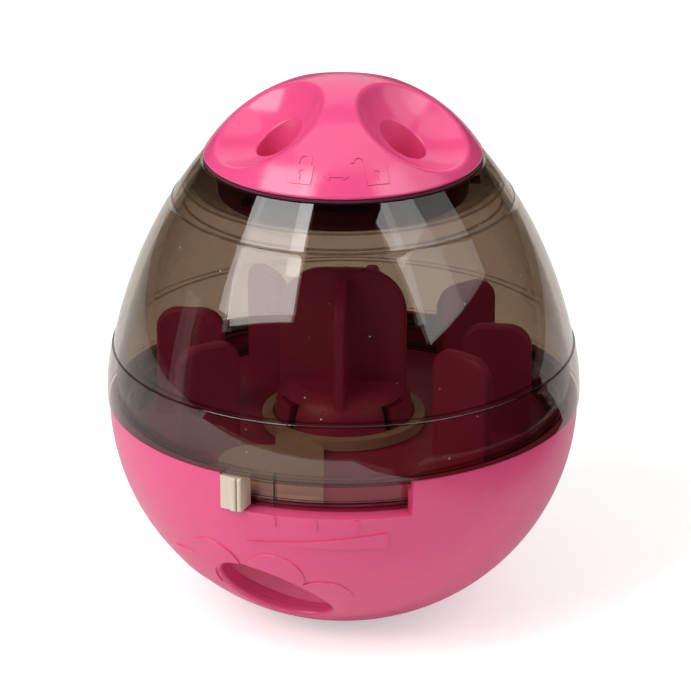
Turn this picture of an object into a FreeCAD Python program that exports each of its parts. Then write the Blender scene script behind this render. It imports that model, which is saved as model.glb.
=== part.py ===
"""Treat dispensing egg toy: a self-righting food puzzle for a dog or cat.

Treats go in at the top, tumble between the upright baffles on the floor, fall
through an oval hole and leave by the outlet low in the bowl. The ivory knob in
the front window turns a disc whose paddle covers more or less of that hole.
Frame: millimetres, +Z up, origin at the centre of the flat foot. The window,
the outlet and the front of the cap face -Y. Azimuths are in degrees from the
front, positive towards +X.
"""

import FreeCAD, Part
import math
import os

from FreeCAD import Vector

# Bowl
BOWL_RADIUS = 57.2
BOWL_SHIFT = 2.0
BOWL_WALL = 2.2
FOOT_RADIUS = 14.0
SEAM_GAP = 0.3
OUTLET_EDGE = 0.9
SOFT_EDGE = 0.5

# Smoky dome, heights above the seam
DOME_OVERHANG = 0.5
DOME_WALL = 2.2
BAND_HEIGHT = 13.9
BAND_SHRINK = 1.1
BAND_CURVE = 59.0
SHOULDER_HEIGHT = 51.0
SHOULDER_RADIUS = 41.3
BODY_CURVE = 113.9
NECK_HEIGHT = 60.75
NECK_CURVE = 95.0
BAND_STEP = 0.7
SHOULDER_STEP = 0.5
MOUTH_LIP = 3.4
NECK_FLANGE = 2.2
SPIGOT_DEPTH = 2.6
SPIGOT_WALL = 1.5

# Cap
CAP_RADIUS = 33.9
CAP_RISE = 18.9
CAP_WALL = 2.2
CAP_TURN = -3.0
APEX_FLAT = 0.5
GASKET_GAP = 0.8
GASKET_THICKNESS = 0.6
GASKET_WIDTH = 2.8
DISH_COUNT = 3
DISH_TILT = 32.2
DISH_RADIUS = 14.6
DISH_DEPTH = 8.2
DISH_EDGE = 1.6
WELL_RADIUS = 5.3
WELL_DEPTH = 8.2
WELL_WALL = 1.8

# Cap liner and its bayonet
LINER_WALL = 1.8
SKIRT_DEPTH = 8.8
LUG_COUNT = 3
LUG_SPAN = 24.0
LUG_REACH = 2.2
LUG_THICKNESS = 2.0
LUG_SLOT_EXTRA = 3.0
TWIST_TRAVEL = 30.0

# Window and selector
WINDOW_START = -30.4
WINDOW_END = 16.5
WINDOW_DEPTH = 9.1
RIM_WALL = 4.45
LEDGE_THICKNESS = 2.0
LEDGE_REACH = 2.45
RING_WALL = 1.6
RING_BEAD = 0.45
RING_BEAD_HEIGHT = 1.8
RING_PAD = 6.3
KNOB_SPAN = 5.6
KNOB_PROUD = 1.3
KNOB_TONGUE = 4.0
COLLAR_RISE = 1.1
PADDLE_LEFT = 29.9
PADDLE_RIGHT = 4.8
PADDLE_INNER = 19.3
PADDLE_ROUND = 8.5
PADDLE_SMALL_ROUND = 2.4
PADDLE_NECK = (-16.5, -6.8)

# Floor, hole and chute
FLOOR_DROP = 7.8
FLOOR_THICKNESS = 2.0
DISC_THICKNESS = 1.6
DISC_RIM = 2.9
HUB_RADIUS = 12.5
HOLE_AZIMUTH = -26.0
HOLE_DISTANCE = 38.2
HOLE_HALF_WIDTH = 11.2
HOLE_HALF_DEPTH = 8.2
CHUTE_WALL = 1.6

# Outlet, an oval lying aslant on the bowl
OUTLET_AZIMUTH = -23.0
OUTLET_ANGLE = 42.1
OUTLET_HALF_LENGTH = 14.6
OUTLET_HALF_WIDTH = 10.5
OUTLET_SLANT = -43.0
THROAT_DEPTH = 5.5

# Tower and baffles
TOWER_HALF_WIDTH = 15.4
TOWER_TOP = 32.3
TOWER_RIB_DROP = 2.0
TOWER_PLATE = 2.8
TOWER_ROUND = 11.0
TOWER_TURN = 4.0
TOWER_FOOT_RADIUS = 17.0
TOWER_FOOT_RISE = 9.0
TOWER_FOOT_CURVE = 7.0
CLIP_RISE = 6.4
CLIP_GAP = 1.0
CLIP_SPAN = 24.0
TOWER_SOCKET = 8.6
BAFFLE_TOP = 20.0
BACK_BAFFLE_TOP = 17.7
BAFFLE_PLATE = 3.2
BAFFLE_ROUND = 5.5
BAFFLE_INNER = 29.3
BAFFLE_OUTER_GAP = 3.8
BAFFLES = {
    "baffle_front_left": -60.0,
    "baffle_left": -98.0,
    "baffle_back_left": -150.0,
    "baffle_back": 170.0,
    "baffle_back_right": 126.0,
    "baffle_right": 80.6,
    "baffle_front_right": 48.5,
}

# Counterweight and fasteners
BOSS_RADIUS = 7.5
WEIGHT_RADIUS = 26.0
WEIGHT_TOP = 13.0
COVER_THICKNESS = 1.6
COVER_SCREW_CIRCLE = 19.0
COVER_POST_RADIUS = 3.2
COVER_SCREW_RADIUS = 1.25
CENTRE_SCREW_RADIUS = 2.0
CENTRE_SCREW_LENGTH = 22.0

# Clearances
FREE = 0.3
RUNNING = 0.4
FIT = 0.05

# Relief on the bowl and the cap
RELIEF = 0.35
TICK_AZIMUTHS = (-16.9, -6.9, 3.1)
TICK_WIDTH = 0.8
TICK_DROP = 0.4
TICK_LENGTH = 2.7
WEDGE_START = -23.5
WEDGE_END = 10.5
WEDGE_BOTTOM = -17.5
WEDGE_RISE = 4.2
FIGURE_HEIGHT = 66.4
PADLOCK_SIZE = 5.2
SHACKLE_RADIUS = 1.8
SHACKLE_WIDTH = 0.7
SHACKLE_LEG = 1.2
ARROW_LENGTH = 5.8
TOE_RADIUS = 7.0
TOE_PLACES = ((-20.5, 2.5), (-12.0, 11.7), (3.5, 11.7), (13.0, 2.2))

# Worked out from the values above
DOME_RADIUS = BOWL_RADIUS + DOME_OVERHANG
MOUTH_RADIUS = CAP_RADIUS - MOUTH_LIP
DISC_RADIUS = TOWER_FOOT_RADIUS + DISC_RIM
BOWL_CURVE = BOWL_RADIUS - BOWL_SHIFT
SEAM = math.sqrt(BOWL_CURVE**2 - (FOOT_RADIUS - BOWL_SHIFT) ** 2)
RIM_INNER = BOWL_RADIUS - RIM_WALL
RING_OUTER = RIM_INNER - FREE - RING_BEAD
RING_INNER = RING_OUTER - RING_WALL + RING_BEAD
LEDGE_INNER = RIM_INNER - LEDGE_REACH
FLOOR_RADIUS = LEDGE_INNER - RUNNING
FLOOR_TOP = SEAM - FLOOR_DROP
FLOOR_BOTTOM = FLOOR_TOP - FLOOR_THICKNESS
DISC_BOTTOM = FLOOR_TOP + FREE
DISC_TOP = DISC_BOTTOM + DISC_THICKNESS
HUB_TOP = DISC_TOP + RUNNING
NECK_TOP = SEAM + NECK_HEIGHT
CAP_EDGE = NECK_TOP + GASKET_GAP
CAP_SPHERE = (CAP_RADIUS**2 + CAP_RISE**2) / (2.0 * CAP_RISE)
CAP_CENTRE_Z = CAP_EDGE + CAP_RISE - CAP_SPHERE
SKIRT_RADIUS = MOUTH_RADIUS - RUNNING
SKIRT_BOTTOM = CAP_EDGE - SKIRT_DEPTH
AXIS = Vector(0, 0, 1)
ORIGIN = Vector(0, 0, 0)


def at(radius, azimuth, z=0.0):
    """Point at a radius, an azimuth from the front and a height."""
    a = math.radians(azimuth)
    return Vector(radius * math.sin(a), -radius * math.cos(a), z)


def turned(shape, degrees):
    """The shape turned about the egg's axis towards +X at the front."""
    copy = shape.copy()
    copy.rotate(ORIGIN, AXIS, degrees)
    return copy


def tube(outer, inner, low, high):
    """A ring between two radii and two heights."""
    ring = Part.makeCylinder(outer, high - low, Vector(0, 0, low))
    if inner > 0:
        ring = ring.cut(Part.makeCylinder(inner, high - low + 2, Vector(0, 0, low - 1)))
    return ring


def sector(outer, inner, low, high, start, end):
    """A piece of a ring between two azimuths."""
    whole = Part.makeCylinder(outer, high - low, Vector(0, 0, low), AXIS, end - start)
    whole.rotate(ORIGIN, AXIS, start - 90.0)
    if inner > 0:
        whole = whole.cut(Part.makeCylinder(inner, high - low + 2, Vector(0, 0, low - 1)))
    return whole


def revolved(edges):
    """The solid swept by a closed outline in the XZ plane turned about Z."""
    face = Part.Face(Part.Wire(Part.__sortEdges__(edges)))
    solid = face.revolve(ORIGIN, AXIS, 360)
    return solid if solid.Volume > 0 else solid.reversed()


def line(p, q):
    """Straight edge between two (radius, height) pairs."""
    return Part.LineSegment(Vector(p[0], 0, p[1]), Vector(q[0], 0, q[1])).toShape()


def arc_centre(p, q, radius):
    """Centre of the outward-bulging arc from p up to q."""
    dx = q[0] - p[0]
    dz = q[1] - p[1]
    length = math.hypot(dx, dz)
    rise = math.sqrt(radius**2 - length**2 / 4.0)
    return ((p[0] + q[0]) / 2 - dz / length * rise, (p[1] + q[1]) / 2 + dx / length * rise)


def arc(p, q, radius):
    """Outward-bulging arc edge from p up to q, both (radius, height)."""
    cx, cz = arc_centre(p, q, radius)
    a = math.atan2(p[1] - cz, p[0] - cx)
    b = math.atan2(q[1] - cz, q[0] - cx)
    mid = (a + b) / 2
    middle = Vector(cx + radius * math.cos(mid), 0, cz + radius * math.sin(mid))
    return Part.Arc(Vector(p[0], 0, p[1]), middle, Vector(q[0], 0, q[1])).toShape()


def pulled_in(p, centre, inset):
    """A point of an arc moved towards the arc's centre."""
    dx = p[0] - centre[0]
    dz = p[1] - centre[1]
    length = math.hypot(dx, dz)
    scale = (length - inset) / length
    return (centre[0] + dx * scale, centre[1] + dz * scale)


def oval(centre, along, across, half_length, half_width):
    """Elliptical wire: along and across are unit vectors in its plane."""
    if half_length < half_width:
        along, across = across, along
        half_length, half_width = half_width, half_length
    ellipse = Part.Ellipse(centre + along * half_length, centre + across * half_width, centre)
    return Part.Wire(ellipse.toShape())


def only_solid(shape):
    """The one solid of a boolean result."""
    solids = sorted(shape.removeSplitter().Solids, key=lambda solid: solid.Volume)
    return solids[-1]


def bowl_body(inset=0.0, low=0.0):
    """The filled bowl, its curved side moved in by inset, from height low up to the seam.

    The side is an arc whose centre lies BOWL_SHIFT off the axis, on the seam's plane.
    """
    curve = BOWL_CURVE - inset
    top = (BOWL_RADIUS - inset, SEAM)
    bottom = (BOWL_SHIFT + math.sqrt(curve**2 - (SEAM - low) ** 2), low)
    side = arc(bottom, top, curve)
    edges = [line((0, low), bottom), side, line(top, (0, SEAM)), line((0, SEAM), (0, low))]
    return revolved(edges)


def outlet_frame():
    """Centre on the bowl, outward normal, and the two directions of the outlet's oval."""
    drop = BOWL_CURVE * math.sin(math.radians(OUTLET_ANGLE))
    radius = BOWL_SHIFT + math.sqrt(BOWL_CURVE**2 - drop**2)
    out = at(1, OUTLET_AZIMUTH)
    normal = out * (radius - BOWL_SHIFT) - AXIS * drop
    normal.normalize()
    sideways = AXIS.cross(out)
    upslope = normal.cross(sideways)
    slant = math.radians(OUTLET_SLANT)
    along = sideways * math.cos(slant) + upslope * math.sin(slant)
    across = upslope * math.cos(slant) - sideways * math.sin(slant)
    centre = at(radius, OUTLET_AZIMUTH, SEAM - drop)
    return centre, normal, along, across, sideways, upslope


def hole_oval(z, extra=0.0):
    """The treat hole's outline at a height, widened by extra."""
    out = at(1, HOLE_AZIMUTH)
    centre = at(HOLE_DISTANCE, HOLE_AZIMUTH, z)
    return oval(centre, AXIS.cross(out), out, HOLE_HALF_WIDTH + extra, HOLE_HALF_DEPTH + extra)


def treat_passage(extra=0.0):
    """The way from under the floor to past the outlet, widened by extra."""
    centre, normal, along, across, sideways, upslope = outlet_frame()
    half_length = OUTLET_HALF_LENGTH + extra
    half_width = OUTLET_HALF_WIDTH + extra
    throat = oval(centre - normal * THROAT_DEPTH, along, across, half_length, half_width)
    duct = Part.makeLoft([hole_oval(FLOOR_BOTTOM - FIT, extra), throat], True, False)
    mouth = Part.Face(throat).extrude(normal * (THROAT_DEPTH + 6.0))
    if duct.Volume < 0:
        duct = duct.reversed()
    return duct.fuse(mouth)


def lower_bowl():
    """Pink shell: rim with window, ledge for the ring, boss, posts, outlet and relief."""
    outer = bowl_body()
    shell = outer.cut(bowl_body(BOWL_WALL, BOWL_WALL))
    ledge_top = SEAM - WINDOW_DEPTH
    rim = tube(BOWL_RADIUS, RIM_INNER, ledge_top - 1.0, SEAM)
    ledge = tube(BOWL_RADIUS, LEDGE_INNER, ledge_top - LEDGE_THICKNESS, ledge_top)
    shelf_inner = LEDGE_INNER - 1.3
    shelf = tube(BOWL_RADIUS, shelf_inner, FLOOR_BOTTOM - LEDGE_THICKNESS, FLOOR_BOTTOM - FIT)
    shell = shell.fuse([rim.common(outer), ledge.common(outer), shelf.common(outer)])
    boss = tube(BOSS_RADIUS, 0, BOWL_WALL / 2, FLOOR_BOTTOM - FIT)
    tall = WEIGHT_TOP - BOWL_WALL / 2
    posts = [
        Part.makeCylinder(COVER_POST_RADIUS, tall, at(COVER_SCREW_CIRCLE, a, BOWL_WALL / 2))
        for a in cover_screw_azimuths()
    ]
    shell = shell.fuse([boss] + [post.common(outer) for post in posts])
    rebate_radius = BOWL_RADIUS - BOWL_WALL
    shell = shell.cut(tube(rebate_radius, 0, SEAM - SPIGOT_DEPTH - FREE, SEAM + 1))
    shell = shell.cut(Part.makeCylinder(BOWL_RADIUS + 5, 5, Vector(0, 0, SEAM - SEAM_GAP / 2)))
    window = sector(BOWL_RADIUS + 2, LEDGE_INNER - 1, ledge_top, SEAM + 1, WINDOW_START, WINDOW_END)
    shell = shell.cut(window)
    shell = shell.cut(treat_passage())
    shelf_room = Part.Face(hole_oval(FLOOR_BOTTOM + 1, CHUTE_WALL + FREE)).extrude(AXIS * -20.0)
    shell = shell.cut(shelf_room.common(tube(LEDGE_INNER, 0, FLOOR_BOTTOM - 20, FLOOR_BOTTOM)))
    screw_depth = CENTRE_SCREW_LENGTH - (HUB_TOP - FLOOR_BOTTOM) + 1.0
    shell = shell.cut(tube(CENTRE_SCREW_RADIUS, 0, FLOOR_BOTTOM - screw_depth, FLOOR_BOTTOM))
    for a in cover_screw_azimuths():
        pilot = Part.makeCylinder(COVER_SCREW_RADIUS, 7.0, at(COVER_SCREW_CIRCLE, a, WEIGHT_TOP - 7.0))
        shell = shell.cut(pilot)
    shell = only_solid(shell)
    shell = shell.makeFillet(OUTLET_EDGE, outlet_rim(shell))
    skin = bowl_skin()
    figures = [skin_ticks(skin), skin_wedge(skin), skin_toes(skin).cut(treat_passage(OUTLET_EDGE + 0.3))]
    return only_solid(shell.fuse(figures))


def outlet_rim(shell):
    """The outlet's edges that lie on the bowl's outer surface."""
    centre, normal, along, across, sideways, upslope = outlet_frame()
    rim = []
    for edge in shell.Edges:
        start = edge.FirstParameter
        length = edge.LastParameter - start
        points = [edge.valueAt(start + length * t) for t in (0.1, 0.5, 0.9)]
        away = [math.hypot(math.hypot(p.x, p.y) - BOWL_SHIFT, p.z - SEAM) for p in points]
        on_bowl = [abs(distance - BOWL_CURVE) < 0.05 for distance in away]
        near = [(p - centre).Length < OUTLET_HALF_LENGTH + 3.0 for p in points]
        if all(on_bowl) and all(near) and edge.Length > 5.0:
            rim.append(edge)
    return rim


def cover_screw_azimuths():
    """Where the weight cover's screws stand, the first one at the back."""
    return (180.0, 60.0, -60.0)


def bowl_skin():
    """A thin skin lying on the bowl's outside, where the raised figures are cut from."""
    return bowl_body(-RELIEF, 6.0).cut(bowl_body(0.3, 4.0))


def skin_ticks(skin):
    """Three short upright marks under the window."""
    marks = []
    top = SEAM - WINDOW_DEPTH - TICK_DROP
    for azimuth in TICK_AZIMUTHS:
        corner = Vector(-TICK_WIDTH / 2, -BOWL_RADIUS - 8, top - TICK_LENGTH)
        mark = Part.makeBox(TICK_WIDTH, 20, TICK_LENGTH, corner)
        marks.append(turned(mark, azimuth))
    return skin.common(marks[0].fuse(marks[1:]))


def skin_wedge(skin):
    """A low wedge that widens to the right: more treats."""
    start = BOWL_RADIUS * math.sin(math.radians(WEDGE_START))
    end = BOWL_RADIUS * math.sin(math.radians(WEDGE_END))
    low = SEAM + WEDGE_BOTTOM
    corners = [(start, low), (end, low), (end, low + WEDGE_RISE), (start, low)]
    outline = Part.makePolygon([Vector(x, -BOWL_RADIUS - 5, z) for x, z in corners])
    return skin.common(Part.Face(outline).extrude(Vector(0, 30, 0)))


def skin_toes(skin):
    """Four low round pads over the outlet, which together look like a paw print."""
    centre, normal, along, across, sideways, upslope = outlet_frame()
    pads = []
    for right, up in TOE_PLACES:
        middle = centre + sideways * right + upslope * up
        pads.append(Part.makeCylinder(TOE_RADIUS, 16.0, middle - normal * 12.0, normal))
    return skin.common(pads[0].fuse(pads[1:]))


def outlet_chute():
    """Duct between the floor's hole and the outlet, trimmed to the inside of the bowl."""
    cavity = bowl_body(BOWL_WALL + FIT, BOWL_WALL + FIT)
    cavity = cavity.cut(Part.makeCylinder(BOWL_RADIUS, 50, Vector(0, 0, FLOOR_BOTTOM - FIT)))
    duct = treat_passage(CHUTE_WALL).common(cavity)
    return only_solid(duct.cut(treat_passage()))


def counterweight():
    """Steel ring that follows the bowl's inside, with holes for the boss and the posts."""
    low = BOWL_WALL + FIT
    block = bowl_body(BOWL_WALL + FREE, low)
    block = block.common(tube(WEIGHT_RADIUS, BOSS_RADIUS + FREE, low, WEIGHT_TOP - FREE))
    block = block.cut(treat_passage(CHUTE_WALL + FREE))
    for a in cover_screw_azimuths():
        hole = Part.makeCylinder(COVER_POST_RADIUS + FREE, WEIGHT_TOP, at(COVER_SCREW_CIRCLE, a, 0))
        block = block.cut(hole)
    return only_solid(block)


def weight_cover():
    """Disc that keeps the counterweight down, screwed to the three posts."""
    disc = tube(WEIGHT_RADIUS + 0.8, BOSS_RADIUS + FREE, WEIGHT_TOP, WEIGHT_TOP + COVER_THICKNESS)
    disc = disc.cut(treat_passage(CHUTE_WALL + FREE))
    for a in cover_screw_azimuths():
        hole = Part.makeCylinder(COVER_SCREW_RADIUS + FIT, 10, at(COVER_SCREW_CIRCLE, a, WEIGHT_TOP - 5))
        disc = disc.cut(hole)
    return only_solid(disc)


def pan_screw(shank_radius, length, head_radius, head_height, seat):
    """Pan head screw standing on a seat point, with a cross recess."""
    shank = Part.makeCylinder(shank_radius, length, seat - AXIS * length)
    head = Part.makeCylinder(head_radius, head_height, seat)
    head = head.makeFillet(head_height * 0.45, [head.Edges[0]])
    screw = shank.fuse(head)
    for turn in (0, 90):
        slot = Part.makeBox(head_radius * 1.1, head_radius * 0.25, head_height, Vector(0, 0, 0))
        slot.translate(Vector(-head_radius * 0.55, -head_radius * 0.125, 0))
        slot.rotate(ORIGIN, AXIS, turn)
        slot.translate(seat + AXIS * (head_height * 0.5))
        screw = screw.cut(slot)
    return only_solid(screw)


def weight_cover_screws():
    """Three pan head screws through the weight cover."""
    screws = []
    for a in cover_screw_azimuths():
        seat = at(COVER_SCREW_CIRCLE, a, WEIGHT_TOP + COVER_THICKNESS)
        screws.append(pan_screw(COVER_SCREW_RADIUS - FIT, 7.0, 2.6, 1.8, seat))
    return Part.makeCompound(screws)


def maze_floor():
    """Pink floor with a raised hub, the treat hole and a slot for each baffle."""
    floor = tube(FLOOR_RADIUS, 0, FLOOR_BOTTOM, FLOOR_TOP)
    floor = floor.fuse(tube(HUB_RADIUS, 0, FLOOR_TOP, HUB_TOP))
    floor = floor.fuse(tube(TOWER_SOCKET + 1.6, TOWER_SOCKET, HUB_TOP, HUB_TOP + 2.0))
    floor = floor.cut(tube(CENTRE_SCREW_RADIUS + 0.2, 0, FLOOR_BOTTOM - 1, HUB_TOP + 1))
    floor = floor.cut(Part.Face(hole_oval(FLOOR_BOTTOM - 1)).extrude(AXIS * 6.0))
    for azimuth in BAFFLES.values():
        floor = floor.cut(turned(baffle_tab(FIT), azimuth))
    return only_solid(floor)


def centre_screw():
    """Screw that clamps the floor's hub to the bowl's boss, hidden inside the tower."""
    return pan_screw(CENTRE_SCREW_RADIUS - FIT, CENTRE_SCREW_LENGTH, 4.0, 2.6, Vector(0, 0, HUB_TOP))


def rounded_plate(half_width, low, top, round_radius, thickness):
    """Upright plate in the XZ plane with two rounded top corners."""
    r = round_radius
    w = half_width
    s = r * (1 - math.sqrt(0.5))
    y = -thickness / 2
    left = Part.Arc(Vector(-w, y, top - r), Vector(-w + s, y, top - s), Vector(-w + r, y, top))
    right = Part.Arc(Vector(w - r, y, top), Vector(w - s, y, top - s), Vector(w, y, top - r))
    edges = [
        Part.LineSegment(Vector(-w, y, low), Vector(-w, y, top - r)).toShape(),
        left.toShape(),
        Part.LineSegment(Vector(-w + r, y, top), Vector(w - r, y, top)).toShape(),
        right.toShape(),
        Part.LineSegment(Vector(w, y, top - r), Vector(w, y, low)).toShape(),
        Part.LineSegment(Vector(w, y, low), Vector(-w, y, low)).toShape(),
    ]
    return Part.Face(Part.Wire(edges)).extrude(Vector(0, thickness, 0))


def softened(plate):
    """The plate with its side and top edges rounded, but not the bottom ones."""
    bottom = plate.BoundBox.ZMin
    rims = [e for e in plate.Edges if e.BoundBox.YLength < 0.01 and e.BoundBox.ZMax > bottom + 1]
    return plate.makeFillet(plate.BoundBox.YLength * 0.3, rims)


def tower_bell(inset, low, top):
    """The filled bell of the tower's foot, moved in by inset."""
    waist = (TOWER_FOOT_RADIUS - 0.4 - inset, low + TOWER_FOOT_RISE / 3)
    crown = (TOWER_FOOT_RADIUS - 5.5 - inset, top)
    edges = [line((0, low), (TOWER_FOOT_RADIUS - inset, low)), line((TOWER_FOOT_RADIUS - inset, low), waist)]
    edges.append(arc(waist, crown, TOWER_FOOT_CURVE))
    edges.append(line(crown, (0, top)))
    edges.append(line((0, top), (0, low)))
    return revolved(edges)


def centre_tower():
    """Cross-shaped divider on a hollow bell foot with four spring clips."""
    low = HUB_TOP + FIT
    wall = 2.0
    rise = TOWER_FOOT_RISE
    hollow = tower_bell(wall, low - 0.01, low + rise - wall)
    foot = tower_bell(0.0, low, low + rise).cut(hollow)
    for azimuth in (45, 135, 225, 315):
        slot = Part.makeBox(2.6, 14.0, CLIP_RISE + 1, Vector(-1.3, -TOWER_FOOT_RADIUS - 4, low - 1))
        foot = foot.cut(turned(slot, azimuth))
        towards_plate = CLIP_SPAN if azimuth in (45, 225) else -CLIP_SPAN
        start, end = sorted((azimuth, azimuth + towards_plate))
        gap_low = low + CLIP_RISE - CLIP_GAP
        foot = foot.cut(sector(TOWER_FOOT_RADIUS + 2, TOWER_SOCKET + 1, gap_low, gap_low + CLIP_GAP, start, end))
    stem = tube(TOWER_SOCKET - FIT, 5.2, low, low + rise - 1.0)
    plate_low = low + rise - wall
    plate = softened(rounded_plate(TOWER_HALF_WIDTH, low + 4.0, SEAM + TOWER_TOP, TOWER_ROUND, TOWER_PLATE))
    rib_top = SEAM + TOWER_TOP - TOWER_RIB_DROP
    rib = softened(rounded_plate(TOWER_HALF_WIDTH, low + 4.0, rib_top, TOWER_ROUND, TOWER_PLATE))
    cross = plate.fuse(turned(rib, 90))
    cross = cross.cut(hollow).cut(tube(TOWER_SOCKET - FIT, 0, low, plate_low))
    tower = only_solid(foot.fuse([stem, cross]))
    return turned(tower, -TOWER_TURN)


def baffle_radii():
    """Inner and outer radius of the baffles."""
    return BAFFLE_INNER, FLOOR_RADIUS - BAFFLE_OUTER_GAP


def baffle_tab(extra=0.0):
    """The tab under a baffle, widened by extra, pointing to the front."""
    inner, outer = baffle_radii()
    length = (outer - inner) * 0.6
    middle = (inner + outer) / 2
    width = BAFFLE_PLATE - 1.2
    size = Vector(width + 2 * extra, length + 2 * extra, FLOOR_THICKNESS)
    corner = Vector(-size.x / 2, -middle - size.y / 2, FLOOR_BOTTOM)
    return Part.makeBox(size.x, size.y, size.z, corner)


def baffle(azimuth):
    """Upright plate that stands on the floor along a radius."""
    inner, outer = baffle_radii()
    top = SEAM + (BACK_BAFFLE_TOP if azimuth == BAFFLES["baffle_back"] else BAFFLE_TOP)
    plate = rounded_plate((outer - inner) / 2, FLOOR_TOP + FIT, top, BAFFLE_ROUND, BAFFLE_PLATE)
    plate = softened(plate)
    plate.rotate(ORIGIN, AXIS, 90)
    plate.translate(Vector(0, -(inner + outer) / 2, 0))
    tab = baffle_tab()
    tab.translate(Vector(0, 0, 0.2))
    return turned(only_solid(plate.fuse(tab)), azimuth)


def knob_azimuth():
    """Azimuth of the knob's middle at the window's left end."""
    return WINDOW_START + math.degrees(FREE / BOWL_RADIUS) + KNOB_SPAN / 2


def metering_disc():
    """Ivory disc with a paddle that covers the treat hole and turns with the knob."""
    disc = tube(DISC_RADIUS, HUB_RADIUS + RUNNING, DISC_BOTTOM, DISC_TOP)
    collar = TOWER_FOOT_RADIUS + RUNNING
    disc = disc.fuse(tube(DISC_RADIUS, collar, DISC_TOP, DISC_TOP + COLLAR_RISE))
    edge = RING_INNER - FIT
    size = Vector(PADDLE_LEFT - PADDLE_RIGHT, edge - PADDLE_INNER, DISC_THICKNESS)
    paddle = Part.makeBox(size.x, size.y, size.z, Vector(-PADDLE_LEFT, -edge, DISC_BOTTOM))
    upright = [e for e in paddle.Edges if e.BoundBox.ZLength > 0.9 * DISC_THICKNESS]
    inner = [e for e in upright if e.BoundBox.YMin > -edge + 1]
    left_corner = [e for e in inner if e.BoundBox.XMin < -PADDLE_LEFT + 1]
    paddle = paddle.makeFillet(PADDLE_ROUND, left_corner)
    upright = [e for e in paddle.Edges if e.BoundBox.ZLength > 0.9 * DISC_THICKNESS]
    inner = [e for e in upright if e.BoundBox.YMin > -edge + 1]
    right_corner = [e for e in inner if e.BoundBox.XMin > -PADDLE_RIGHT - 0.1]
    paddle = paddle.makeFillet(PADDLE_SMALL_ROUND, right_corner)
    left, right = PADDLE_NECK
    corner = Vector(left, -PADDLE_INNER - 1, DISC_BOTTOM)
    paddle = paddle.fuse(Part.makeBox(right - left, PADDLE_INNER, DISC_THICKNESS, corner))
    paddle = paddle.common(tube(edge, HUB_RADIUS + RUNNING, DISC_BOTTOM, DISC_TOP))
    disc = disc.fuse(paddle)
    notch = turned(knob_tongue(FIT, 6.0), knob_azimuth())
    return only_solid(disc.cut(notch))


def knob_tongue(extra=0.0, overrun=0.0):
    """Flat tongue of the knob that reaches through the ring into the disc, at the front."""
    inner = RING_INNER - 4.5
    outer = RIM_INNER + 2.0
    width = KNOB_TONGUE + 2 * extra
    height = DISC_THICKNESS + 2 * overrun
    corner = Vector(-width / 2, -outer, DISC_BOTTOM - overrun)
    return Part.makeBox(width, outer - inner + extra, height, corner)


def selector_ring():
    """Smoky ring wall that keeps the window closed, with a bead along its lower edge."""
    low = SEAM - WINDOW_DEPTH + FREE
    high = SEAM - 0.6
    ring = tube(RING_OUTER, RING_INNER, low, high)
    bead = tube(RING_OUTER + RING_BEAD, RING_INNER, low, low + RING_BEAD_HEIGHT)
    pad_end = knob_azimuth() + KNOB_SPAN / 2 + RING_PAD
    pad = sector(RING_OUTER + RING_BEAD, RING_INNER, low, high, WINDOW_START - 2, pad_end)
    ring = ring.fuse([bead, pad])
    return only_solid(ring.cut(turned(knob_tongue(FIT, FIT), knob_azimuth())))


def grip_bar(face, low, high, start, end):
    """One upright bar of the knob with rounded front edges."""
    bar = sector(face, face - 2.0, low, high, start, end)
    front = [e for e in bar.Edges if math.hypot(e.CenterOfMass.x, e.CenterOfMass.y) > face - 0.4]
    return bar.makeFillet(SOFT_EDGE * 0.8, front)


def selector_knob():
    """Ivory slider: a block in the window with two upright bars and a lip below."""
    half = KNOB_SPAN / 2
    low = SEAM - WINDOW_DEPTH + FREE
    high = SEAM - 0.5
    face = BOWL_RADIUS + KNOB_PROUD
    body = sector(face - 0.9, RIM_INNER - 0.1, low, high, -half, half)
    left_bar = grip_bar(face, low, high, -half + 2.9, -half + 4.3)
    right_bar = grip_bar(face - 0.2, low, high, -half + 4.65, half)
    knob = body.fuse([left_bar, right_bar, knob_tongue()])
    return turned(only_solid(knob), knob_azimuth())


def dome_outline(inset, bottom):
    """Edges of the dome's side from the bottom height to the neck, moved in by inset."""
    foot = (DOME_RADIUS, bottom)
    band = (DOME_RADIUS - BAND_SHRINK, SEAM + BAND_HEIGHT)
    band_in = (band[0] - BAND_STEP, band[1] + BAND_STEP)
    shoulder = (SHOULDER_RADIUS, SEAM + SHOULDER_HEIGHT)
    shoulder_in = (shoulder[0] - SHOULDER_STEP, shoulder[1] + SHOULDER_STEP)
    neck = (CAP_RADIUS + FREE, NECK_TOP)
    if inset:
        foot = pulled_in(foot, arc_centre(foot, band, BAND_CURVE), inset)
        centre = arc_centre(band, shoulder, BODY_CURVE)
        neck = pulled_in(neck, arc_centre(shoulder, neck, NECK_CURVE), inset)
        band = band_in = pulled_in(band, centre, inset)
        shoulder = shoulder_in = pulled_in(shoulder, centre, inset)
    edges = [arc(foot, band, BAND_CURVE - inset), arc(band_in, shoulder, BODY_CURVE - inset)]
    edges.append(arc(shoulder_in, neck, NECK_CURVE - inset))
    if not inset:
        edges.append(arc(band, band_in, BAND_STEP))
        edges.append(arc(shoulder, shoulder_in, SHOULDER_STEP))
    return foot, neck, edges


def filled_dome(inset, bottom):
    """The solid inside the dome's outline."""
    foot, neck, edges = dome_outline(inset, bottom)
    edges.append(line(neck, (0, neck[1])))
    edges.append(line((0, neck[1]), (0, foot[1])))
    edges.append(line((0, foot[1]), foot))
    return revolved(edges)


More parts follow.
